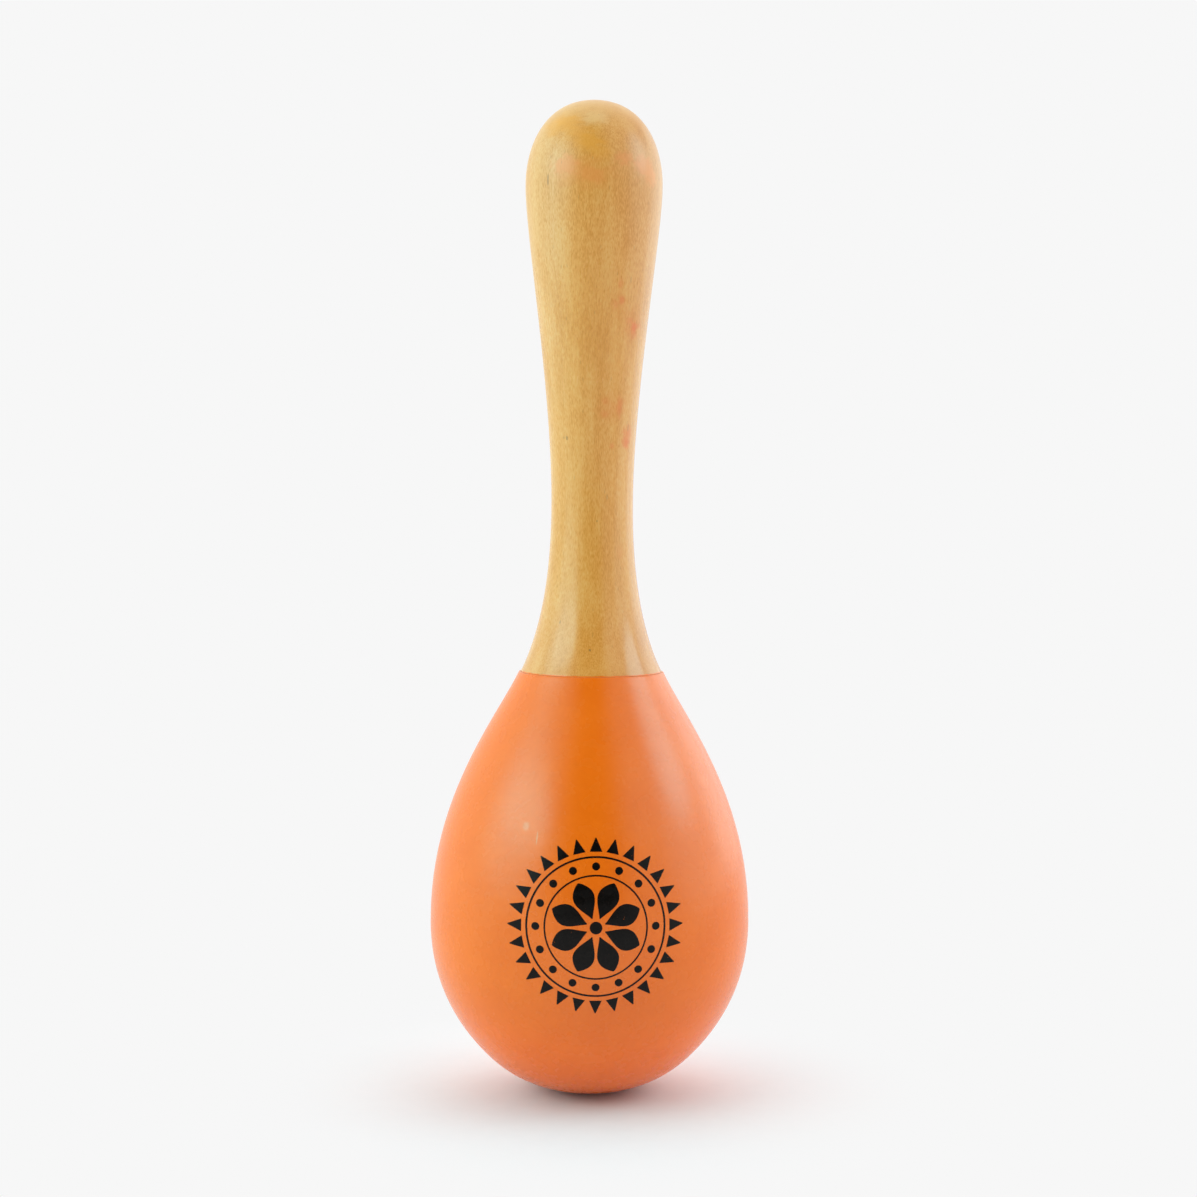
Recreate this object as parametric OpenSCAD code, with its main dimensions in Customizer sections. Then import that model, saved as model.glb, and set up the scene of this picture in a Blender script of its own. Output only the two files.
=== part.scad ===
// Turned wooden rattle: a natural handle glued into a hollow painted head that holds loose beads.
// The axis of the turning is Z, the head's closed end is at the origin and the handle points up.
// All sizes are in millimetres.

/* [Overall] */
// Length from the head's closed end to the top of the handle's knob
total_length = 200; // [196:0.5:206]

/* [Head] */
// Diameter of the head at its widest circle
head_d = 64.7; // [62:0.1:68]
// Height of the widest circle above the closed end
head_mid_z = 35; // [33:0.5:38]
// Diameter of the circle on the bowl where the wall leans at 45 degrees
bowl_d = 42.2; // [40:0.1:44]
// Height of that 45 degree circle above the closed end
bowl_z = 8; // [7:0.1:9]
// Diameter of the head at its mouth, where the paint ends
mouth_d = 29.2; // [27:0.1:32]
// Height of the mouth above the closed end
mouth_z = 85.5; // [83:0.5:89]
// Lean of the head's wall at its mouth, in degrees from the axis
mouth_lean = 25.5; // [20:0.5:32]

/* [Head curve] */
// How far the curve runs level at the closed end
end_pull = 12.5; // [9:0.5:14]
// How far the curve runs straight into the 45 degree circle
bowl_pull_low = 3.5; // [2:0.5:6]
// How far the curve runs straight out of the 45 degree circle
bowl_pull_high = 14; // [11:0.5:16]
// How far the curve runs upright below the widest circle
mid_pull_low = 6.5; // [3:0.5:12]
// How far the curve runs upright above the widest circle
mid_pull_high = 25; // [18:0.5:28]
// How far the curve runs straight into the mouth
mouth_pull = 10.5; // [6:0.5:14]

/* [Handle] */
// Diameter of the neck, the handle's narrowest circle
neck_d = 16.5; // [14:0.1:19]
// Height of the neck above the head's closed end
neck_z = 119.5; // [112:0.5:124]
// Diameter of the knob, the handle's widest circle
knob_d = 27.5; // [24:0.1:30]
// Height of the knob's widest circle above the head's closed end
knob_z = 183; // [178:0.5:184]
// How far the head's mouth stands proud of the handle's foot
foot_step = 0.3; // [0.1:0.05:0.5]

/* [Handle curve] */
// Lean of the flare at the foot, in degrees from the axis
foot_lean = 26.5; // [20:0.5:32]
// How far the flare runs straight out of the foot
foot_pull = 13; // [8:0.5:15]
// How far the curve runs upright below the neck
neck_pull_low = 6.5; // [4:0.5:12]
// How far the curve runs upright above the neck
neck_pull_high = 23; // [16:0.5:30]
// How far the curve runs upright below the knob's widest circle
knob_pull_low = 10; // [6:0.5:16]
// How far the curve runs upright above the knob's widest circle
knob_pull_high = 8; // [5:0.5:11]
// How far the curve runs level at the top of the knob
top_pull = 10; // [7:0.5:11]

/* [Glued joints] */
// Diameter of the tenon on the handle's foot
tenon_d = 16; // [12:0.5:18]
// Length of the tenon
tenon_l = 16; // [12:0.5:17]
// Chamfer round the end of the tenon
tenon_chamfer = 1; // [0.5:0.1:1.5]
// Thickness of the tongue at the seam between the head's halves
tongue_t = 2.6; // [2:0.1:3.2]
// Height of that tongue
tongue_h = 3; // [2:0.5:5]
// Gap left for glue round the tenon and the tongue
glue_gap = 0.1; // [0.05:0.05:0.2]

/* [Rattle chamber] */
// Thickness of the head's wall at its widest circle
wall_t = 5.5; // [4.5:0.5:6.5]
// Thickness of the bowl's floor at the closed end
floor_t = 6; // [5:0.5:9]
// Height of the chamber's crown above the widest circle
chamber_rise = 35; // [31:0.5:36]

/* [Beads] */
// Diameter of one bead
bead_d = 5; // [4:0.1:5.2]
// Distance from one ring of beads to the next
bead_pitch = 5.6; // [5.6:0.1:6]
// Rings of beads round the middle one
bead_rings = 2; // [1, 2]
// Clear gap left between a bead and the chamber's wall
bead_gap = 0.25; // [0.2:0.05:0.5]

/* [Hidden] */
$fn = 96;
wood_colour = [0.84, 0.64, 0.37];
paint_colour = [0.92, 0.45, 0.14];
bead_colour = [0.90, 0.86, 0.74];
curve_steps = 24;
search_step = 0.5;

head_r = head_d / 2;
mouth_r = mouth_d / 2;
foot_r = mouth_r - foot_step;
tenon_r = tenon_d / 2;
bore_r = tenon_r + glue_gap;
chamber_r = head_r - wall_t;
chamber_depth = head_mid_z - floor_t;
tongue_r = chamber_r + tongue_t;
tongue_top = head_mid_z + tongue_h;
tenon_end = mouth_z - tenon_l;
bead_reach = bead_d / 2 + bead_gap;

up = [0, 1];
outward = [1, 0];
bowl_way = [sin(45), cos(45)];
mouth_way = [-sin(mouth_lean), cos(mouth_lean)];
foot_way = [-sin(foot_lean), cos(foot_lean)];

closed_end = [0, 0];
bowl_circle = [bowl_d / 2, bowl_z];
widest_circle = [head_r, head_mid_z];
mouth_circle = [mouth_r, mouth_z];
foot_circle = [foot_r, mouth_z];
neck_circle = [neck_d / 2, neck_z];
knob_circle = [knob_d / 2, knob_z];
knob_top = [0, total_length];

// A smooth curve from one point to another, without its first point: it leaves and arrives along
// the two pull vectors.
function curve(from, from_pull, to_pull, to) = [
    for (i = [1:curve_steps])
    let (t = i / curve_steps, s = 1 - t)
    s * s * s * from + 3 * s * s * t * (from + from_pull) + 3 * s * t * t * (to - to_pull) + t * t * t * to
];

// Points of the chamber's wall. The angle is 0 at the floor's middle and 90 at the widest circle.
function bowl_wall(angle) = [chamber_r * sin(angle), head_mid_z - chamber_depth * cos(angle)];

// The angle is 0 at the widest circle and 90 at the middle of the crown.
function crown_wall(angle) = [chamber_r * cos(angle), head_mid_z + chamber_rise * sin(angle)];

// Even steps from one angle to another
function angles(from, to) = [for (i = [0:curve_steps]) from + (to - from) * i / curve_steps];

// Profile of the head's outside below and above its widest circle
lower_outside = concat(
    [closed_end],
    curve(closed_end, end_pull * outward, bowl_pull_low * bowl_way, bowl_circle),
    curve(bowl_circle, bowl_pull_high * bowl_way, mid_pull_low * up, widest_circle)
);
upper_outside = concat(
    [widest_circle],
    curve(widest_circle, mid_pull_high * up, mouth_pull * mouth_way, mouth_circle)
);

// Profile of the handle's outside, from its foot to the top of its knob
handle_outside = concat(
    [foot_circle],
    curve(foot_circle, foot_pull * foot_way, neck_pull_low * up, neck_circle),
    curve(neck_circle, neck_pull_high * up, knob_pull_low * up, knob_circle),
    curve(knob_circle, knob_pull_high * up, -top_pull * outward, knob_top)
);

// Angles at which the crown meets the bore and the top of the tongue's socket
bore_angle = acos(bore_r / chamber_r);
socket_angle = asin((tongue_h + glue_gap) / chamber_rise);

// Lowest and highest place of a bead's centre, at a distance out from the axis
function reach_over(point, out) = sqrt(bead_reach * bead_reach - (point[0] - out) * (point[0] - out));
function bead_low(out) = max([
    for (angle = [0:search_step:90])
    let (point = bowl_wall(angle))
    if (abs(point[0] - out) < bead_reach) point[1] + reach_over(point, out)
]);
function bead_high(out) = min(tenon_end - bead_reach, min([
    for (angle = [0:search_step:90])
    let (point = crown_wall(angle))
    if (abs(point[0] - out) < bead_reach) point[1] - reach_over(point, out)
]));

// Beads lie in rings: one in the middle, then six more in each ring than in the ring inside it.
// Each bead is a distance out from the axis and a bearing.
bead_places = concat(
    [[0, 0]],
    [for (ring = [1:bead_rings], i = [0:6 * ring - 1]) [ring * bead_pitch, i * 60 / ring]]
);
function bead_name(i) = str("rattle_bead_", i < 9 ? "0" : "", i + 1);

echo(bead_travel = [for (ring = [0:bead_rings]) bead_high(ring * bead_pitch) - bead_low(ring * bead_pitch)]);

module handle() {
    tenon = [
        [0, tenon_end],
        [tenon_r - tenon_chamfer, tenon_end],
        [tenon_r, tenon_end + tenon_chamfer],
        [tenon_r, mouth_z]
    ];
    color(wood_colour)
        rotate_extrude()
            polygon(concat(tenon, handle_outside));
}

module head_upper_shell() {
    crown = [for (angle = angles(bore_angle, socket_angle)) crown_wall(angle)];
    socket_top = tongue_top + glue_gap;
    socket_r = tongue_r + glue_gap;
    color(paint_colour)
        rotate_extrude()
            polygon(concat(
                upper_outside,
                [[bore_r, mouth_z]],
                crown,
                [[socket_r, socket_top], [socket_r, head_mid_z]]
            ));
}

module head_lower_shell() {
    bowl = [for (angle = angles(90, 0)) bowl_wall(angle)];
    color(paint_colour)
        rotate_extrude()
            polygon(concat(
                lower_outside,
                [[tongue_r, head_mid_z], [tongue_r, tongue_top], [chamber_r, tongue_top]],
                bowl
            ));
}

module rattle_bead(i) {
    out = bead_places[i][0];
    bearing = bead_places[i][1];
    color(bead_colour)
        translate([out * cos(bearing), out * sin(bearing), bead_low(out)])
            sphere(d = bead_d);
}

handle();
head_upper_shell();
head_lower_shell();
for (i = [0:len(bead_places) - 1]) {
    rattle_bead(i);
}
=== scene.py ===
import math

import bpy
import numpy as np
from mathutils import Euler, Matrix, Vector


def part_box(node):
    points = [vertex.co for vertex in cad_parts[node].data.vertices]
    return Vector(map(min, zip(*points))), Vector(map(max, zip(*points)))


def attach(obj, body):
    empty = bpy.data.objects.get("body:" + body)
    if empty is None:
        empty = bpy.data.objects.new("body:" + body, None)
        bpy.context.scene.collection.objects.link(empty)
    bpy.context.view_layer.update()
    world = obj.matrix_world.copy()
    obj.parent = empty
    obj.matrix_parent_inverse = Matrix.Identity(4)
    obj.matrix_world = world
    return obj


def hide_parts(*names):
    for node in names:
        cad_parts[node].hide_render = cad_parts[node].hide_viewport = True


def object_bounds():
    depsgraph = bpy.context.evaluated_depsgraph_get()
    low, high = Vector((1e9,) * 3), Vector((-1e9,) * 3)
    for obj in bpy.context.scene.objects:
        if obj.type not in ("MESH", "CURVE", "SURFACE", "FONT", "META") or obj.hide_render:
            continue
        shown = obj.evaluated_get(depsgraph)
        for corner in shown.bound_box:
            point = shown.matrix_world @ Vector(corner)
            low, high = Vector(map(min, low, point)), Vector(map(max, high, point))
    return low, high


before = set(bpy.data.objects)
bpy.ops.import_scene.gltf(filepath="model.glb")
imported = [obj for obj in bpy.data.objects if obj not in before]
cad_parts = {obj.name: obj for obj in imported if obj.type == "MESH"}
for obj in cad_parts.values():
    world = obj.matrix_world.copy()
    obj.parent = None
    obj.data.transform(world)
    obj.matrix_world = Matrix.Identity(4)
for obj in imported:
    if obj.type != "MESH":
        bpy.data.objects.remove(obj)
cad_low, cad_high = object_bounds()

MM = 0.001
BODY = "rattle"
HANDLE = "handle"
UPPER = "head_upper_shell"
LOWER = "head_lower_shell"
BEAD = "rattle_bead"


# Profiles of the turned pieces, read from the frame

SAME = 0.004 * MM
FACING = 1e-3
RING_SPACING = 0.6 * MM
END_STEP = 0.02 * MM


def rings(node, looking):
    """(radius, height) of the rings on a node's faces that look away from the axis, or at it with -1."""
    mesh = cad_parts[node].data
    found = set()
    for face in mesh.polygons:
        out = Vector((face.center.x, face.center.y, 0)).normalized()
        if looking * face.normal.dot(out) > FACING:
            for i in face.vertices:
                place = mesh.vertices[i].co
                found.add((math.hypot(place.x, place.y), place.z))
    return in_order(found)


def in_order(points):
    """Points of a profile from the lowest up.

    Of two points at one height, the one nearer the point before them comes first."""
    left = sorted(points, key=lambda p: (p[1], p[0]))
    path = [left.pop(0)]
    while left:
        level = [p for p in left if p[1] - left[0][1] < SAME]
        nearest = min(level, key=lambda p: math.dist(p, path[-1]))
        left.remove(nearest)
        if math.dist(nearest, path[-1]) > SAME:
            path.append(nearest)
    return path


def spline(points):
    """A smooth curve through points, with a short step at each end.

    It stays level where it ends on the axis."""
    knots = np.array(points)
    flip = np.array([-1, 1])
    before = knots[1:4][::-1] * flip if points[0][0] < SAME else knots[:0]
    after = knots[-4:-1][::-1] * flip if points[-1][0] < SAME else knots[:0]
    full = np.vstack([before, knots, after])
    steps = np.linalg.norm(np.diff(full, axis=0), axis=1)
    along = np.concatenate([[0], np.cumsum(steps)])
    bend = spline_bends(along, full)
    first = along[len(before)]
    last = along[len(before) + len(knots) - 1]
    even = np.linspace(first, last, int(round((last - first) / RING_SPACING)) + 1)
    at = np.sort(np.append(even, [first + END_STEP, last - END_STEP]))
    i = np.clip(np.searchsorted(along, at, side="right") - 1, 0, len(steps) - 1)
    h = steps[i][:, None]
    b = ((at - along[i]) / steps[i])[:, None]
    a = 1 - b
    bulge = (a**3 - a) * bend[i] + (b**3 - b) * bend[i + 1]
    curve = a * full[i] + b * full[i + 1] + bulge * h * h / 6
    curve[:, 0] = np.maximum(curve[:, 0], 0)
    return [tuple(p) for p in curve]


def spline_bends(along, points):
    """Second derivatives of a cubic spline whose bend runs on unchanged past its ends."""
    n = len(along)
    h = np.diff(along)
    rows = np.zeros((n, n))
    right = np.zeros((n, 2))
    rows[0, :2] = 1, -1
    rows[-1, -2:] = -1, 1
    for i in range(1, n - 1):
        rows[i, i - 1 : i + 2] = h[i - 1], 2 * (h[i - 1] + h[i]), h[i]
        right[i] = 6 * ((points[i + 1] - points[i]) / h[i] - (points[i] - points[i - 1]) / h[i - 1])
    return np.linalg.solve(rows, right)


def rounded(before, corner, after, radius, steps=5):
    """Points that round a profile's corner off, as a curve that leaves both sides a radius away."""
    before, corner, after = (np.array(p) for p in (before, corner, after))
    start = corner + (before - corner) / np.linalg.norm(before - corner) * radius
    end = corner + (after - corner) / np.linalg.norm(after - corner) * radius
    curve = []
    for t in np.linspace(0, 1, steps):
        curve.append(tuple((1 - t) ** 2 * start + 2 * t * (1 - t) * corner + t * t * end))
    return curve


# Turned meshes

TURN_STEPS = 240
SHARP_ANGLE = math.radians(40)
SHOWN_SHARE = 0.9
BAKE_MAP = "OFBake"
BARE = "bare"


def lathe(name, outside, hidden):
    """A solid turned from a closed profile of (radius, height).

    Its outside runs up and the hidden rest back down. The bake map unrolls it from a seam at the back,
    and the BARE attribute is 1 on the hidden faces."""
    profile = outside + hidden
    rows = bake_rows(profile, len(outside))
    places, circles = [], []
    for radius, height in profile:
        on_axis = radius < SAME
        count = 1 if on_axis else TURN_STEPS
        circles.append([len(places) + k % count for k in range(TURN_STEPS)])
        for k in range(count):
            angle = math.pi / 2 + 2 * math.pi * k / TURN_STEPS
            places.append((radius * math.cos(angle), radius * math.sin(angle), height))
    faces, bare = [], []
    for i in range(len(profile)):
        strip = turned_strip(circles[i], circles[(i + 1) % len(profile)], rows[i], rows[i + 1])
        faces.extend(strip)
        bare.extend([float(i >= len(outside) - 1)] * len(strip))
    mesh = bpy.data.meshes.new(name)
    mesh.from_pydata(places, [], [[corner[0] for corner in face] for face in faces])
    spread = [value for face in faces for corner in face for value in corner[1:]]
    mesh.uv_layers.new(name=BAKE_MAP).data.foreach_set("uv", spread)
    mesh.attributes.new(BARE, "FLOAT", "FACE").data.foreach_set("value", bare)
    return finished(mesh)


def bake_rows(profile, shown):
    """How far up the bake map each point of a closed profile lies.

    The first, shown points take most of the map."""
    lengths = [math.dist(p, profile[(i + 1) % len(profile)]) for i, p in enumerate(profile)]
    scale_shown = SHOWN_SHARE / sum(lengths[: shown - 1])
    scale_hidden = (1 - SHOWN_SHARE) / sum(lengths[shown - 1 :])
    rows = [0.0]
    for i, length in enumerate(lengths):
        rows.append(rows[-1] + length * (scale_shown if i < shown - 1 else scale_hidden))
    return rows


def turned_strip(low, high, low_row, high_row):
    """Faces between two rings of a turned mesh, each a list of (vertex, u, v).

    A ring on the axis is one vertex."""
    low_is_pole = low[0] == low[1]
    high_is_pole = high[0] == high[1]
    if low_is_pole and high_is_pole:
        return []
    strip = []
    for k in range(TURN_STEPS):
        after = (k + 1) % TURN_STEPS
        left = k / TURN_STEPS
        right = (k + 1) / TURN_STEPS
        middle = (left + right) / 2
        lower = [(low[k], left, low_row), (low[after], right, low_row)]
        upper = [(high[after], right, high_row), (high[k], left, high_row)]
        if low_is_pole:
            lower = [(low[0], middle, low_row)]
        if high_is_pole:
            upper = [(high[0], middle, high_row)]
        strip.append(lower + upper)
    return strip


def finished(mesh):
    """An object for a new mesh, shaded smooth apart from its sharp edges."""
    mesh.shade_smooth()
    mesh.set_sharp_from_angle(angle=SHARP_ANGLE)
    piece = bpy.data.objects.new(mesh.name, mesh)
    bpy.context.scene.collection.objects.link(piece)
    return piece


# The handle and the head's two halves

LIP_RADIUS = 0.18 * MM
FOOT_RADIUS = 0.12 * MM

foot_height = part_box(UPPER)[1].z
seam_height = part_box(UPPER)[0].z


def handle_profile():
    """The handle's outside from its foot to its top, and the tenon under it from the axis out."""
    path = rings(HANDLE, 1)
    tenon_radius = path[2][0]
    tenon_side = [p for p in path if p[1] < foot_height + SAME and p[0] < tenon_radius + SAME]
    tenon = [(0.0, path[0][1])] + tenon_side
    curve = spline([p for p in path if p[1] > foot_height - SAME and p not in tenon])
    edge = rounded(tenon[-1], curve[0], curve[2], FOOT_RADIUS)
    return edge + curve[2:], tenon


def upper_profile():
    """The upper half's outside with a rounded lip at its mouth, and its bore, crown and socket."""
    inside = rings(UPPER, -1)
    curve = spline(rings(UPPER, 1))
    lip = rounded(curve[-3], curve[-1], inside[-1], LIP_RADIUS)
    return curve[:-2] + lip, inside[::-1]


def lower_profile():
    """The lower half's outside, and the seam's tongue and the bowl inside it."""
    path = rings(LOWER, 1)
    widest = max(path)
    curve = spline([p for p in path if p[1] < seam_height - SAME] + [widest])
    tongue = [p for p in path if p[1] > seam_height - SAME and p != widest]
    return curve, tongue + rings(LOWER, -1)[::-1]


handle_outside, handle_tenon = handle_profile()
upper_outside, upper_inside = upper_profile()
lower_outside, lower_inside = lower_profile()
head_outside = lower_outside + upper_outside

handle = lathe("turned_handle", handle_outside, handle_tenon)
head_upper = lathe("painted_head_upper", upper_outside, upper_inside)
head_lower = lathe("painted_head_lower", lower_outside, lower_inside)


# The round print on the head: a sunburst round a ring of dots and a flower of eight petals

PRINT_BEARING = math.radians(2.4)
PRINT_HEIGHT = 39.4 * MM
INK_ABOVE = 0.03 * MM
INK_BELOW = 0.05 * MM
RAYS = 28
RAY_REACH = (14.2 * MM, 16.8 * MM)
RAY_HALF_WIDTHS = (1.2 * MM, 0.08 * MM)
RAY_STEPS = 7
OUTER_CIRCLE = (13.4 * MM, 13.05 * MM)
DOTS = 16
DOT_RADIUS = 0.75 * MM
DOT_CIRCLE = 11.5 * MM
INNER_CIRCLE = (9.95 * MM, 9.65 * MM)
PETALS = 8
PETAL_REACH = (1.9 * MM, 9.0 * MM)
PETAL_HALF_WIDTH = 1.95 * MM
PETAL_TIP = 0.1 * MM
PETAL_STEPS = 25
PETAL_LEAN = 1.35
PETAL_FULLNESS = 0.85
EYE_RADIUS = 1.2 * MM
CIRCLE_STEPS = 180


def on_head(across, up, lift):
    """Where a point of the print, drawn flat as seen from in front of it, lies on the head."""
    height = PRINT_HEIGHT + up
    radii, heights = zip(*head_outside)
    radius = np.interp(height, heights, radii) + lift
    depth = math.sqrt(radius**2 - across**2)
    cos = math.cos(PRINT_BEARING)
    sin = math.sin(PRINT_BEARING)
    return (across * cos + depth * sin, across * sin - depth * cos, height)


def add_ink(places, faces, rows, closed=False):
    """Adds a thin closed slab to a mesh, over rows of flat points. Closed rows join up into rings."""
    start = len(places)
    width = len(rows[0])
    under = len(rows) * width
    for lift in (INK_ABOVE, -INK_BELOW):
        places.extend(on_head(across, up, lift) for row in rows for across, up in row)
    top = []
    for i in range(len(rows) - 1):
        for j in range(width if closed else width - 1):
            here = start + i * width
            after = (j + 1) % width
            top.append([here + j, here + after, here + width + after, here + width + j])
    edges = {(face[k - 1], face[k]) for face in top for k in range(4)}
    rim = sorted((a, b) for a, b in edges if (b, a) not in edges)
    faces.extend(top)
    faces.extend([vertex + under for vertex in reversed(face)] for face in top)
    faces.extend([b, a, a + under, b + under] for a, b in rim)


def spoke(angle, outline, columns):
    """Rows of flat points along a spoke at an angle, for an outline of (distance out, half width)."""
    cos = math.cos(angle)
    sin = math.sin(angle)
    rows = []
    for out, half in outline:
        sides = np.linspace(-half, half, columns)
        rows.append([(out * cos + side * sin, out * sin - side * cos) for side in sides])
    return rows


def circle(radius):
    """One closed row of flat points round the middle of the print, clockwise."""
    angles = np.linspace(0, 2 * math.pi, CIRCLE_STEPS, endpoint=False)
    return [(radius * math.cos(a), -radius * math.sin(a)) for a in angles]


def dot(out, angle, radius, columns):
    """Rows of flat points that fill a dot, as a square grid drawn out to a circle."""
    steps = np.linspace(-1, 1, columns)
    x = out * math.cos(angle)
    y = out * math.sin(angle)
    rows = []
    for b in steps:
        up = [y + radius * b * math.sqrt(1 - a * a / 2) for a in steps]
        across = [x + radius * a * math.sqrt(1 - b * b / 2) for a in steps]
        rows.append(list(zip(across, up)))
    return rows


def petal_outline():
    """(distance out, half width) along a leaf-shaped petal that is widest past its middle."""
    outline = []
    for t in np.linspace(0, 1, PETAL_STEPS):
        out = PETAL_REACH[0] + (PETAL_REACH[1] - PETAL_REACH[0]) * t
        swell = math.sin(math.pi * t**PETAL_LEAN) ** PETAL_FULLNESS
        outline.append((out, PETAL_TIP + PETAL_HALF_WIDTH * swell))
    return outline


def printed_rosette():
    places, faces = [], []
    ray = list(zip(np.linspace(*RAY_REACH, RAY_STEPS), np.linspace(*RAY_HALF_WIDTHS, RAY_STEPS)))
    for i in range(RAYS):
        add_ink(places, faces, spoke(2 * math.pi * i / RAYS, ray, columns=5))
    for i in range(DOTS):
        add_ink(places, faces, dot(DOT_CIRCLE, 2 * math.pi * i / DOTS, DOT_RADIUS, columns=9))
    for i in range(PETALS):
        add_ink(places, faces, spoke(2 * math.pi * (i + 0.5) / PETALS, petal_outline(), columns=13))
    for outer, inner in (OUTER_CIRCLE, INNER_CIRCLE):
        add_ink(places, faces, [circle(outer), circle(inner)], closed=True)
    add_ink(places, faces, dot(0, 0, EYE_RADIUS, columns=11))
    mesh = bpy.data.meshes.new("printed_rosette")
    mesh.from_pydata(places, [], faces)
    return finished(mesh)


rosette = printed_rosette()

for piece, slot in (
    (handle, "natural_wood"),
    (head_upper, "painted_wood"),
    (head_lower, "painted_wood"),
    (rosette, "painted_wood"),
):
    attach(piece, BODY)
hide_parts(HANDLE)
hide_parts(UPPER)
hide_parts(LOWER)


# Materials

SEED_SHIFT = (17.3, 5.9, 11.1)


class Nodes:
    """A tree of shader nodes in the making."""

    def __init__(self, tree):
        self.tree = tree

    def node(self, kind, **settings):
        made = self.tree.nodes.new(kind)
        for name, value in settings.items():
            setattr(made, name, value)
        return made

    def give(self, socket, value):
        """Links a socket to another, or sets it."""
        if isinstance(value, bpy.types.NodeSocket):
            self.tree.links.new(value, socket)
        else:
            socket.default_value = value

    def maths(self, operation, *values):
        made = self.node("ShaderNodeMath", operation=operation)
        for socket, value in zip(made.inputs, values):
            self.give(socket, value)
        return made.outputs[0]

    def total(self, *terms):
        """The sum of (value, weight) pairs."""
        result = 0.0
        for value, weight in terms:
            result = self.maths("MULTIPLY_ADD", value, weight, result)
        return result

    def part(self, vector, axis):
        made = self.node("ShaderNodeSeparateXYZ")
        self.give(made.inputs[0], vector)
        return made.outputs[axis]

    def step(self, value, low, high, start=0.0, end=1.0):
        """Eases from start to end as a value goes from low to high."""
        made = self.node("ShaderNodeMapRange", interpolation_type="SMOOTHSTEP")
        for name, number in (("From Min", low), ("From Max", high), ("To Min", start), ("To Max", end)):
            made.inputs[name].default_value = number
        self.give(made.inputs["Value"], value)
        return made.outputs["Result"]

    def ramp(self, value, stops):
        """A colour for a value, from (value, colour) stops."""
        made = self.node("ShaderNodeValToRGB")
        points = made.color_ramp.elements
        while len(points) < len(stops):
            points.new(0.5)
        for point, (position, colour) in zip(points, stops):
            point.position = position
            point.color = (*colour, 1)
        self.give(made.inputs["Fac"], value)
        return made.outputs["Color"]

    def mix(self, share, first, second):
        """Goes from the first colour to the second as the share goes from 0 to 1."""
        made = self.node("ShaderNodeMix", data_type="RGBA")
        for i, value in ((0, share), (6, first), (7, second)):
            self.give(made.inputs[i], (*value, 1) if isinstance(value, tuple) else value)
        return made.outputs[2]


class Look(Nodes):
    """A material in the making. Patterns are sized in millimetres in the piece's own space."""

    def __init__(self, name):
        self.material = bpy.data.materials.new(name)
        self.material.use_nodes = True
        super().__init__(self.material.node_tree)
        self.surface = self.tree.nodes["Principled BSDF"]
        self.place = self.node("ShaderNodeTexCoord").outputs["Object"]

    def set(self, **values):
        """Sets the shader's own sockets, with _ for a space in a name."""
        for name, value in values.items():
            self.give(self.surface.inputs[name.replace("_", " ")], value)

    def cells(self, size, seed):
        """The place counted in cells of a size, moved by a seed so that no two patterns line up."""
        made = self.node("ShaderNodeVectorMath", operation="MULTIPLY_ADD")
        self.give(made.inputs[0], self.place)
        made.inputs[1].default_value = [1 / (side * MM) for side in size]
        made.inputs[2].default_value = [seed * shift for shift in SEED_SHIFT]
        return made.outputs[0]

    def noise(self, size, seed, detail=2, roughness=0.5):
        made = self.node("ShaderNodeTexNoise")
        self.give(made.inputs["Vector"], self.cells(size, seed))
        made.inputs["Scale"].default_value = 1
        made.inputs["Detail"].default_value = detail
        made.inputs["Roughness"].default_value = roughness
        return made.outputs["Fac"]

    def flecks(self, size, seed, share, radius):
        """1 inside short flecks scattered one to a cell, in a share of the cells."""
        made = self.node("ShaderNodeTexVoronoi")
        self.give(made.inputs["Vector"], self.cells(size, seed))
        made.inputs["Scale"].default_value = 1
        near = self.step(made.outputs["Distance"], radius, radius / 3)
        chosen = self.maths("LESS_THAN", self.part(made.outputs["Color"], "X"), share)
        return self.maths("MULTIPLY", near, chosen)

    def toned(self, colour, axis, reach, tone):
        """A colour that takes on a tone along an axis, from the start of a reach to its end."""
        made = self.node("ShaderNodeVectorMath", operation="MULTIPLY")
        self.give(made.inputs[0], colour)
        made.inputs[1].default_value = tone
        share = self.step(self.part(self.place, axis), *reach)
        return self.mix(share, colour, made.outputs[0])

    def marked(self, colour, tone, outside, marks, edge, ragged):
        """A colour with marks in another one. The marks are (bearing, height, wide, tall, strength)."""
        for bearing, height, wide, tall, strength in marks:
            share = self.spot(outside, bearing, height, wide, tall, edge, ragged)
            colour = self.mix(self.maths("MULTIPLY", share, strength), colour, tone)
        return colour

    def spot(self, outside, bearing, height, wide, tall, edge, ragged):
        """1 inside an oval spot on a turned surface, fading at its edge. Its sizes are in millimetres."""
        radii, heights = zip(*outside)
        radius = np.interp(height * MM, heights, radii)
        turn = math.radians(bearing)
        made = self.node("ShaderNodeMapping", vector_type="TEXTURE")
        self.give(made.inputs["Vector"], self.place)
        across = radius * math.sin(turn)
        deep = -radius * math.cos(turn)
        made.inputs["Location"].default_value = (across, deep, height * MM)
        made.inputs["Rotation"].default_value = (0, 0, turn)
        made.inputs["Scale"].default_value = (wide * MM / 2, max(wide, tall) * MM, tall * MM / 2)
        length = self.node("ShaderNodeVectorMath", operation="LENGTH")
        self.give(length.inputs[0], made.outputs[0])
        rough = self.noise((wide / 3, wide / 3, tall / 3), seed=bearing, detail=3)
        distance = self.total((length.outputs["Value"], 1.0), (rough, 2 * ragged), (1.0, -ragged))
        return self.step(distance, 1 + edge / 2, 1 - edge / 2)

    def bump(self, height, distance):
        """Raises the surface by a height of 0 to 1 times a distance in millimetres."""
        made = self.node("ShaderNodeBump")
        made.inputs["Distance"].default_value = distance * MM
        self.give(made.inputs["Height"], height)
        self.give(self.surface.inputs["Normal"], made.outputs["Normal"])


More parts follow.
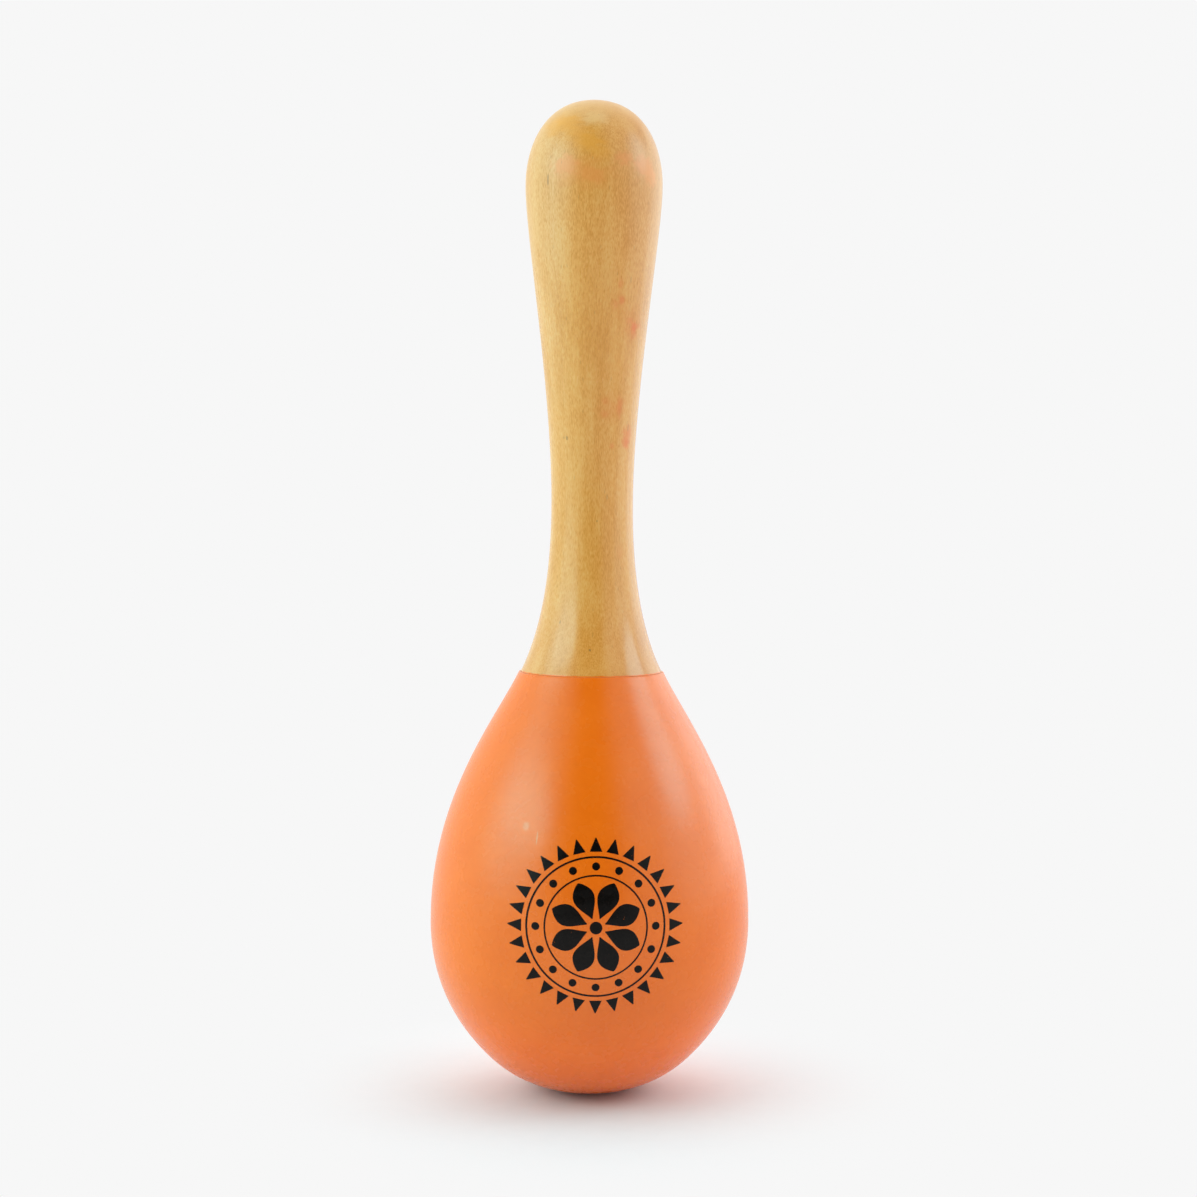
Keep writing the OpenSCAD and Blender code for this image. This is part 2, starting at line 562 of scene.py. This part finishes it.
# The handle's wood: a pale, straight-grained wood under clear lacquer

WOOD_DEEP = (0.640, 0.260, 0.041)
WOOD = (0.740, 0.336, 0.073)
WOOD_PALE = (0.780, 0.413, 0.116)
# Pale end grain, made paler still as painted light on the top of the knob
WOOD_END_AND_TOP_LIGHT = (0.840, 0.530, 0.215)
WOOD_GOLDEN = (0.810, 0.345, 0.044)
WOOD_PINK = (0.800, 0.285, 0.068)
WOOD_FLECK = (0.26, 0.13, 0.045)
PAINT = (0.875, 0.156, 0.0024)
PAINT_STAIN = (0.73, 0.165, 0.030)
# Painted light: the wood turns paler and yellower towards the left side
LEFT_PAINTED_LIGHT = (-3 * MM, -10 * MM)
LEFT_PAINTED_LIGHT_TONE = (0.97, 1.04, 1.42)
# Painted shade: the wood turns darker towards the right side
RIGHT_PAINTED_SHADE = (4 * MM, 11 * MM)
RIGHT_PAINTED_SHADE_TONE = (0.92, 0.88, 0.98)
# Painted shade: the wood turns darker towards the handle's foot
FOOT_SHADE_REACH = (104 * MM, 90 * MM)
FOOT_PAINTED_SHADE = (0.98, 0.92, 0.84)
# Up-facing surfaces take the pale end-grain colour: end grain, with painted light from above
END_GRAIN_AND_TOP_LIGHT = (0.35, 0.95)
END_GRAIN_AND_TOP_LIGHT_SHARE = 0.5
PITH = (14.0, 26.0)
YEAR = 3.1
YEAR_WANDER = 1.6
PORE_SHARE = 0.10
PORE_RADIUS = 0.22
PORE_STRENGTH = 0.30
PAINT_FRINGE = 0.16
FRINGE_EDGE = 0.08
LACQUER_ROUGHNESS = (0.15, 0.21)
WORN_FROM = 105 * MM
WORN_FULLY = 180 * MM
WORN_ROUGHNESS = 0.13
WOOD_RELIEF = 0.008

# Rubbed-off paint on the wood: bearing, height, then the mark's width, height and strength
PAINT_RUBS = (
    (48.4, 154.5, 1.5, 1.7, 0.85),
    (48.4, 153.5, 1.8, 2.4, 0.45),
    (56.0, 154.8, 1.6, 1.0, 0.35),
    (42.0, 155.7, 1.5, 1.2, 0.30),
    (45.5, 155.2, 4.6, 5.4, 0.16),
    (29.7, 159.6, 1.2, 1.5, 0.60),
    (22.6, 158.7, 1.3, 1.6, 0.25),
    (27.5, 158.6, 3.2, 4.4, 0.12),
    (27.4, 162.9, 1.0, 2.0, 0.34),
    (35.4, 138.8, 1.3, 3.4, 0.40),
    (15.6, 139.9, 1.2, 1.2, 0.24),
    (15.3, 137.3, 1.4, 1.4, 0.30),
    (25.0, 138.6, 5.0, 4.6, 0.20),
    (49.5, 131.5, 1.9, 1.7, 0.62),
    (52.0, 133.2, 2.6, 3.6, 0.55),
    (26.8, 131.0, 0.9, 1.0, 0.40),
    (41.2, 109.9, 1.6, 2.4, 0.16),
)
# Dents and dirt in the wood, in the same form
WOOD_MARKS = (
    (-41.0, 182.9, 0.28, 2.2, 0.80),
    (-35.4, 132.5, 0.45, 0.8, 0.65),
    (-40.5, 132.6, 0.40, 0.5, 0.35),
    (-1.0, 90.7, 0.40, 0.45, 0.80),
    (-35.8, 96.0, 0.28, 0.7, 0.55),
    (52.9, 134.6, 0.30, 1.3, 0.40),
    (21.1, 120.9, 0.30, 1.0, 0.35),
    (7.0, 116.1, 0.35, 0.4, 0.40),
    (38.5, 163.6, 0.30, 1.4, 0.30),
)
# Warm and golden patches in the wood of the knob, and a pale painted highlight near its top, in the same
# form
WARM_PATCHES = (
    (-8.0, 184.0, 10.0, 5.0, 0.32),
    (-6.0, 183.9, 3.0, 2.6, 0.45),
    (3.3, 183.3, 2.4, 2.4, 0.45),
    (-24.0, 185.6, 4.8, 3.4, 0.75),
    (26.0, 186.9, 3.4, 2.6, 0.60),
    (47.0, 185.4, 4.5, 4.5, 0.75),
    (57.0, 183.8, 3.0, 3.0, 0.60),
)
GOLDEN_PATCHES = (
    (-4.6, 190.2, 5.0, 3.2, 0.65),
    (-17.0, 192.4, 6.0, 2.8, 0.50),
    (-29.0, 194.3, 5.5, 2.6, 0.60),
    (-46.0, 194.0, 6.0, 4.5, 0.50),
    (6.0, 188.0, 4.0, 3.0, 0.35),
)
# Painted highlight: a pale spot near the top of the knob
PAINTED_HIGHLIGHTS = ((0.7, 195.0, 4.5, 2.6, 0.55),)


def lacquered_wood():
    look = Look("lacquered_wood")
    streaks = look.noise((0.50, 0.50, 7), seed=1, detail=3, roughness=0.6)
    fibres = look.noise((0.17, 0.17, 0.9), seed=2, detail=1)
    bands = look.noise((2.4, 2.4, 55), seed=3)
    clouds = look.noise((7, 7, 18), seed=4)
    grain = look.total(
        (streaks, 0.26),
        (fibres, 0.74),
        (bands, 0.36),
        (clouds, 0.22),
        (year_lines(look), -0.04),
        (1.0, -0.29),
    )
    colour = look.ramp(grain, ((0.32, WOOD_DEEP), (0.50, WOOD), (0.68, WOOD_PALE)))
    # Painted light: paler and yellower on the left side
    colour = look.toned(colour, "X", LEFT_PAINTED_LIGHT, LEFT_PAINTED_LIGHT_TONE)
    # Painted shade: darker on the right side
    colour = look.toned(colour, "X", RIGHT_PAINTED_SHADE, RIGHT_PAINTED_SHADE_TONE)
    # Painted shade: darker towards the foot
    colour = look.toned(colour, "Z", FOOT_SHADE_REACH, FOOT_PAINTED_SHADE)

    # Painted light: where the surface faces up, on the knob's dome, the wood turns pale, for end grain
    # and for light from above
    normal = look.node("ShaderNodeNewGeometry").outputs["Normal"]
    facing_up = look.step(look.part(normal, "Z"), *END_GRAIN_AND_TOP_LIGHT, end=END_GRAIN_AND_TOP_LIGHT_SHARE)
    colour = look.mix(facing_up, colour, WOOD_END_AND_TOP_LIGHT)
    # The pale patch is a painted highlight near the top of the knob
    for patches, tone in (
        (GOLDEN_PATCHES, WOOD_GOLDEN),
        (WARM_PATCHES, WOOD_PINK),
        (PAINTED_HIGHLIGHTS, WOOD_END_AND_TOP_LIGHT),
    ):
        colour = look.marked(colour, tone, handle_outside, patches, edge=1.3, ragged=1.0)
    pores = look.flecks((0.55, 0.55, 3.2), seed=5, share=PORE_SHARE, radius=PORE_RADIUS)
    colour = look.mix(look.maths("MULTIPLY", pores, PORE_STRENGTH), colour, WOOD_FLECK)
    colour = look.marked(colour, PAINT_STAIN, handle_outside, PAINT_RUBS, edge=1.4, ragged=0.8)
    colour = look.marked(colour, WOOD_FLECK, handle_outside, WOOD_MARKS, edge=0.8, ragged=0.4)

    above_foot = look.total((look.part(look.place, "Z"), 1 / MM), (1, -foot_height / MM))
    wander = look.noise((1.1, 1.1, 1.1), seed=6)
    fringe = look.step(look.total((above_foot, 1), (wander, -2 * PAINT_FRINGE)), FRINGE_EDGE, 0)
    colour = look.mix(fringe, colour, PAINT)

    worn = look.step(look.part(look.place, "Z"), WORN_FROM, WORN_FULLY, end=WORN_ROUGHNESS)
    dull = look.total((look.step(streaks, 0.3, 0.7, *LACQUER_ROUGHNESS), 1), (worn, 1))
    look.set(Base_Color=colour, Roughness=dull, Specular_IOR_Level=0.5)
    look.bump(look.total((fibres, 0.5), (streaks, 0.5)), WOOD_RELIEF)
    return look.material


def year_lines(look):
    """1 on the thin late-wood lines of rings round a pith that lies outside the handle."""
    wander = look.noise((9, 9, 70), seed=7)
    x = look.total((look.part(look.place, "X"), 1 / MM), (1, -PITH[0]))
    y = look.total((look.part(look.place, "Y"), 1 / MM), (1, -PITH[1]))
    squares = look.maths("MULTIPLY_ADD", x, x, look.maths("MULTIPLY", y, y))
    distance = look.total((look.maths("SQRT", squares), 1 / YEAR), (wander, YEAR_WANDER))
    phase = look.maths("FRACT", distance)
    rising = look.step(phase, 0.45, 0.90)
    falling = look.step(phase, 0.93, 1.0, 1, 0)
    return look.maths("MULTIPLY", rising, falling)


# The head's paint, with bare wood inside, and the print's ink

PAINT_DEEP = (0.850, 0.145, 0.0018)
PAINT_HAZE = (0.900, 0.168, 0.0046)
PAINT_CHALK = (0.88, 0.52, 0.32)
# Painted light: the paint turns redder and more saturated towards the bottom of the head
BOWL_PAINTED_LIGHT_REACH = (26 * MM, 9 * MM)
BOWL_PAINTED_LIGHT = (1.10, 1.02, 0.90)
PAINT_SHINE = (0.50, 1.0, 0.95, 1.0)
PAINT_ROUGHNESS = (0.26, 0.28)
BARE_ROUGHNESS = 0.4
BARE_WOOD = (0.58, 0.37, 0.16)
INK = (0.0030, 0.0022, 0.0018)
INK_GREY = (0.0060, 0.0042, 0.0032)
INK_ROUGHNESS = (0.24, 0.34)
INK_RELIEF = 0.002

# Pale marks in the paint: bearing, height, then the mark's width, height and strength
PAINT_MARKS = (
    (-20.2, 55.8, 0.24, 2.4, 0.65),
    (-25.4, 57.8, 1.3, 1.6, 0.34),
)


def orange_paint():
    look = Look("orange_paint")
    clouds = look.noise((9, 9, 9), seed=11)
    specks = look.noise((0.7, 0.7, 0.7), seed=12)
    mottle = look.total((clouds, 0.6), (specks, 0.4))
    colour = look.ramp(mottle, ((0.32, PAINT_DEEP), (0.50, PAINT), (0.68, PAINT_HAZE)))
    # Painted light: redder and more saturated towards the bottom
    colour = look.toned(colour, "Z", BOWL_PAINTED_LIGHT_REACH, BOWL_PAINTED_LIGHT)
    colour = look.marked(colour, PAINT_CHALK, head_outside, PAINT_MARKS, edge=0.8, ragged=0.3)
    bare = look.node("ShaderNodeAttribute", attribute_name=BARE).outputs["Fac"]
    fibres = look.noise((0.4, 0.4, 9), seed=13, detail=3)
    bare_wood = look.ramp(fibres, ((0.3, WOOD), (0.7, BARE_WOOD)))
    colour = look.mix(bare, colour, bare_wood)
    brushed = look.noise((3, 3, 3), seed=14, detail=3)
    dull = look.total((look.step(brushed, 0.35, 0.65, *PAINT_ROUGHNESS), 1), (bare, BARE_ROUGHNESS))
    look.set(Base_Color=colour, Roughness=dull, Specular_IOR_Level=0.55, Specular_Tint=PAINT_SHINE)
    return look.material


def printing_ink():
    look = Look("printing_ink")
    colour = look.ramp(look.noise((0.5, 0.5, 0.5), seed=21), ((0.35, INK), (0.70, INK_GREY)))
    scuffs = look.noise((0.55, 0.4, 0.55), seed=22, detail=4, roughness=0.65)
    worn = look.step(scuffs, 0.70, 0.76, end=0.8)
    colour = look.mix(worn, colour, PAINT)
    dull = look.step(look.noise((1.5, 1.5, 1.5), seed=23), 0.3, 0.7, *INK_ROUGHNESS)
    look.set(Base_Color=colour, Roughness=dull, Specular_IOR_Level=0.16)
    look.bump(look.noise((0.25, 0.25, 0.25), seed=24), INK_RELIEF)
    return look.material


# The beads' cream plastic

CREAM = (0.74, 0.66, 0.45)
CREAM_SHADE = (0.62, 0.52, 0.32)
BEAD_ROUGHNESS = (0.35, 0.5)
BEAD_RELIEF = 0.004


def bead_plastic():
    look = Look("bead_plastic")
    swirl = look.noise((2.5, 2.5, 1.2), seed=31, detail=3)
    colour = look.ramp(swirl, ((0.3, CREAM_SHADE), (0.65, CREAM)))
    look.set(Base_Color=colour, Roughness=look.step(swirl, 0.3, 0.7, *BEAD_ROUGHNESS))
    look.bump(look.noise((0.3, 0.3, 0.3), seed=32), BEAD_RELIEF)
    return look.material


handle.data.materials.append(lacquered_wood())
paint = orange_paint()
for piece in (head_upper, head_lower):
    piece.data.materials.append(paint)
rosette.data.materials.append(printing_ink())
plastic = bead_plastic()
for name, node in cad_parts.items():
    if name.startswith(BEAD):
        for slot in node.material_slots:
            slot.material = plastic


# Floor, backdrop and studio light

BACKGROUND = 0.93
WHITE = (1.0, 1.0, 1.0)
FLOOR_SIZE = 4.0
PAPER = (0.745, 0.715, 0.710)
PAPER_CLOUD = (0.730, 0.700, 0.695)
PAPER_NEAR = 0.012
PAPER_FAR = 0.072
SLOT_DARK = math.radians(16)
SLOT_LIGHT = math.radians(44)
LIGHT_AIM = Vector((0, 0, 0.1))
LIGHT_DISTANCE = 0.8
LIGHT_POWER = 10.0
TENT_TINT = (1.15, 1.0, 1.0)
LEFT_TINT = (0.52, 1.0, 0.98)
RIGHT_TINT = (0.55, 1.0, 1.08)
LEFT_BACK_TINT = (0.40, 1.04, 1.20)
BACK_TINT = (1.0, 0.96, 0.95)

# Lamps: name, bearing, elevation, width, height, level, tint and whether reflections show it
LAMPS = (
    ("left_lamp", -57, 25, 44, 22, 0.55, LEFT_TINT, True),
    ("left_fill", -64, 22, 54, 46, 0.30, LEFT_TINT, True),
    ("left_back", -98, 18, 70, 60, 0.36, LEFT_BACK_TINT, False),
    ("right_lamp", 88, 32, 30, 32, 0.73, RIGHT_TINT, True),
    ("right_front", 46, 30, 36, 22, 0.08, RIGHT_TINT, True),
    ("right_fill", 98, 14, 76, 44, 0.20, RIGHT_TINT, True),
    ("right_back", 135, 14, 50, 44, 0.17, RIGHT_TINT, True),
    ("back_lamp", 180, 40, 90, 40, 0.22, BACK_TINT, False),
    ("top_lamp", 0, 80, 50, 50, 0.06, BACK_TINT, False),
)

scene = bpy.context.scene
scene.view_settings.view_transform = "Standard"


def floor():
    """White paper. Away from the object, what sees it directly sees the plain backdrop."""
    bpy.ops.mesh.primitive_plane_add(size=FLOOR_SIZE, location=(0, 0, cad_low.z))
    plane = bpy.context.object
    plane.name = "floor"
    look = Look("floor_paper")
    cloud = look.noise((4, 4, 4), seed=41)
    colour = look.ramp(cloud, ((0.3, PAPER_CLOUD), (0.7, PAPER)))
    look.set(Base_Color=colour, Roughness=0.9, Specular_IOR_Level=0.1)
    length = look.node("ShaderNodeVectorMath", operation="LENGTH")
    look.give(length.inputs[0], look.place)
    far = look.step(length.outputs["Value"], PAPER_NEAR, PAPER_FAR)
    backdrop = look.node("ShaderNodeEmission")
    backdrop.inputs["Color"].default_value = (BACKGROUND, BACKGROUND, BACKGROUND, 1)
    mix = look.node("ShaderNodeMixShader")
    look.give(mix.inputs["Fac"], look.maths("MULTIPLY", far, seen_directly(look)))
    look.give(mix.inputs[1], look.surface.outputs["BSDF"])
    look.give(mix.inputs[2], backdrop.outputs["Emission"])
    look.give(look.tree.nodes["Material Output"].inputs["Surface"], mix.outputs["Shader"])
    plane.data.materials.append(look.material)


def seen_directly(look):
    """1 for rays of the camera, of reflections and of clear things."""
    path = look.node("ShaderNodeLightPath").outputs
    camera_or_glossy = look.maths("MAXIMUM", path["Is Camera Ray"], path["Is Glossy Ray"])
    return look.maths("MAXIMUM", camera_or_glossy, path["Is Transmission Ray"])


def softbox(name, bearing, elevation, wide, tall, level, tint, mirrored):
    """An oval lamp that faces the object.

    Its bearing, from the front to the right, its elevation and how wide and tall it looks from the
    object are in degrees."""
    turn = math.radians(bearing)
    rise = math.radians(elevation)
    way = Vector((math.sin(turn) * math.cos(rise), -math.cos(turn) * math.cos(rise), math.sin(rise)))
    lamp = bpy.data.lights.new(name, "AREA")
    lamp.shape = "ELLIPSE"
    lamp.size = 2 * LIGHT_DISTANCE * math.tan(math.radians(wide / 2))
    lamp.size_y = 2 * LIGHT_DISTANCE * math.tan(math.radians(tall / 2))
    lamp.energy = LIGHT_POWER * level * lamp.size * lamp.size_y
    lamp.color = tint
    holder = bpy.data.objects.new(name, lamp)
    holder.location = LIGHT_AIM + LIGHT_DISTANCE * way
    holder.rotation_euler = (-way).to_track_quat("-Z", "Y").to_euler()
    holder.visible_camera = False
    holder.visible_glossy = mirrored
    scene.collection.objects.link(holder)


def tent():
    """A white tent all round, with a dark opening at the front.

    The camera and clear things see it whole. It spreads a warm light, and its reflections are white."""
    world = bpy.data.worlds.new("tent")
    scene.world = world
    world.use_nodes = True
    sky = Nodes(world.node_tree)
    background = sky.tree.nodes["Background"]
    way = sky.node("ShaderNodeTexCoord").outputs["Generated"]
    sideways = sky.maths("ABSOLUTE", sky.part(way, "X"))
    frontward = sky.maths("MULTIPLY", sky.part(way, "Y"), -1)
    cloth = sky.step(sky.maths("ARCTAN2", sideways, frontward), SLOT_DARK, SLOT_LIGHT)
    path = sky.node("ShaderNodeLightPath").outputs
    whole = sky.maths("MAXIMUM", path["Is Camera Ray"], path["Is Transmission Ray"])
    level = sky.maths("MULTIPLY", sky.maths("MAXIMUM", whole, cloth), BACKGROUND)
    sky.give(background.inputs["Strength"], level)
    plain = sky.maths("MAXIMUM", whole, path["Is Glossy Ray"])
    sky.give(background.inputs["Color"], sky.mix(plain, TENT_TINT, WHITE))


floor()
tent()
for lamp in LAMPS:
    softbox(*lamp)


# Camera: a square frame, fitted to the outline in the photograph

FRAME_PIXELS = 1197
FOCAL_PIXELS = 2250
SENSOR = 36
CAMERA_PLACE = (1.41 * MM, -455 * MM, 125.3 * MM)
CAMERA_PITCH = math.radians(-3.15)
CAMERA_ROLL = math.radians(0.37)
CAMERA_NEAREST = 10 * MM


def camera():
    data = bpy.data.cameras.new("camera")
    data.sensor_width = SENSOR
    data.lens = SENSOR * FOCAL_PIXELS / FRAME_PIXELS
    data.clip_start = CAMERA_NEAREST
    view = bpy.data.objects.new("camera", data)
    view.location = CAMERA_PLACE
    level = Euler((math.pi / 2 + CAMERA_PITCH, 0, 0)).to_matrix()
    roll = Euler((0, 0, CAMERA_ROLL)).to_matrix()
    view.rotation_euler = (level @ roll).to_euler()
    scene.collection.objects.link(view)
    scene.camera = view


camera()
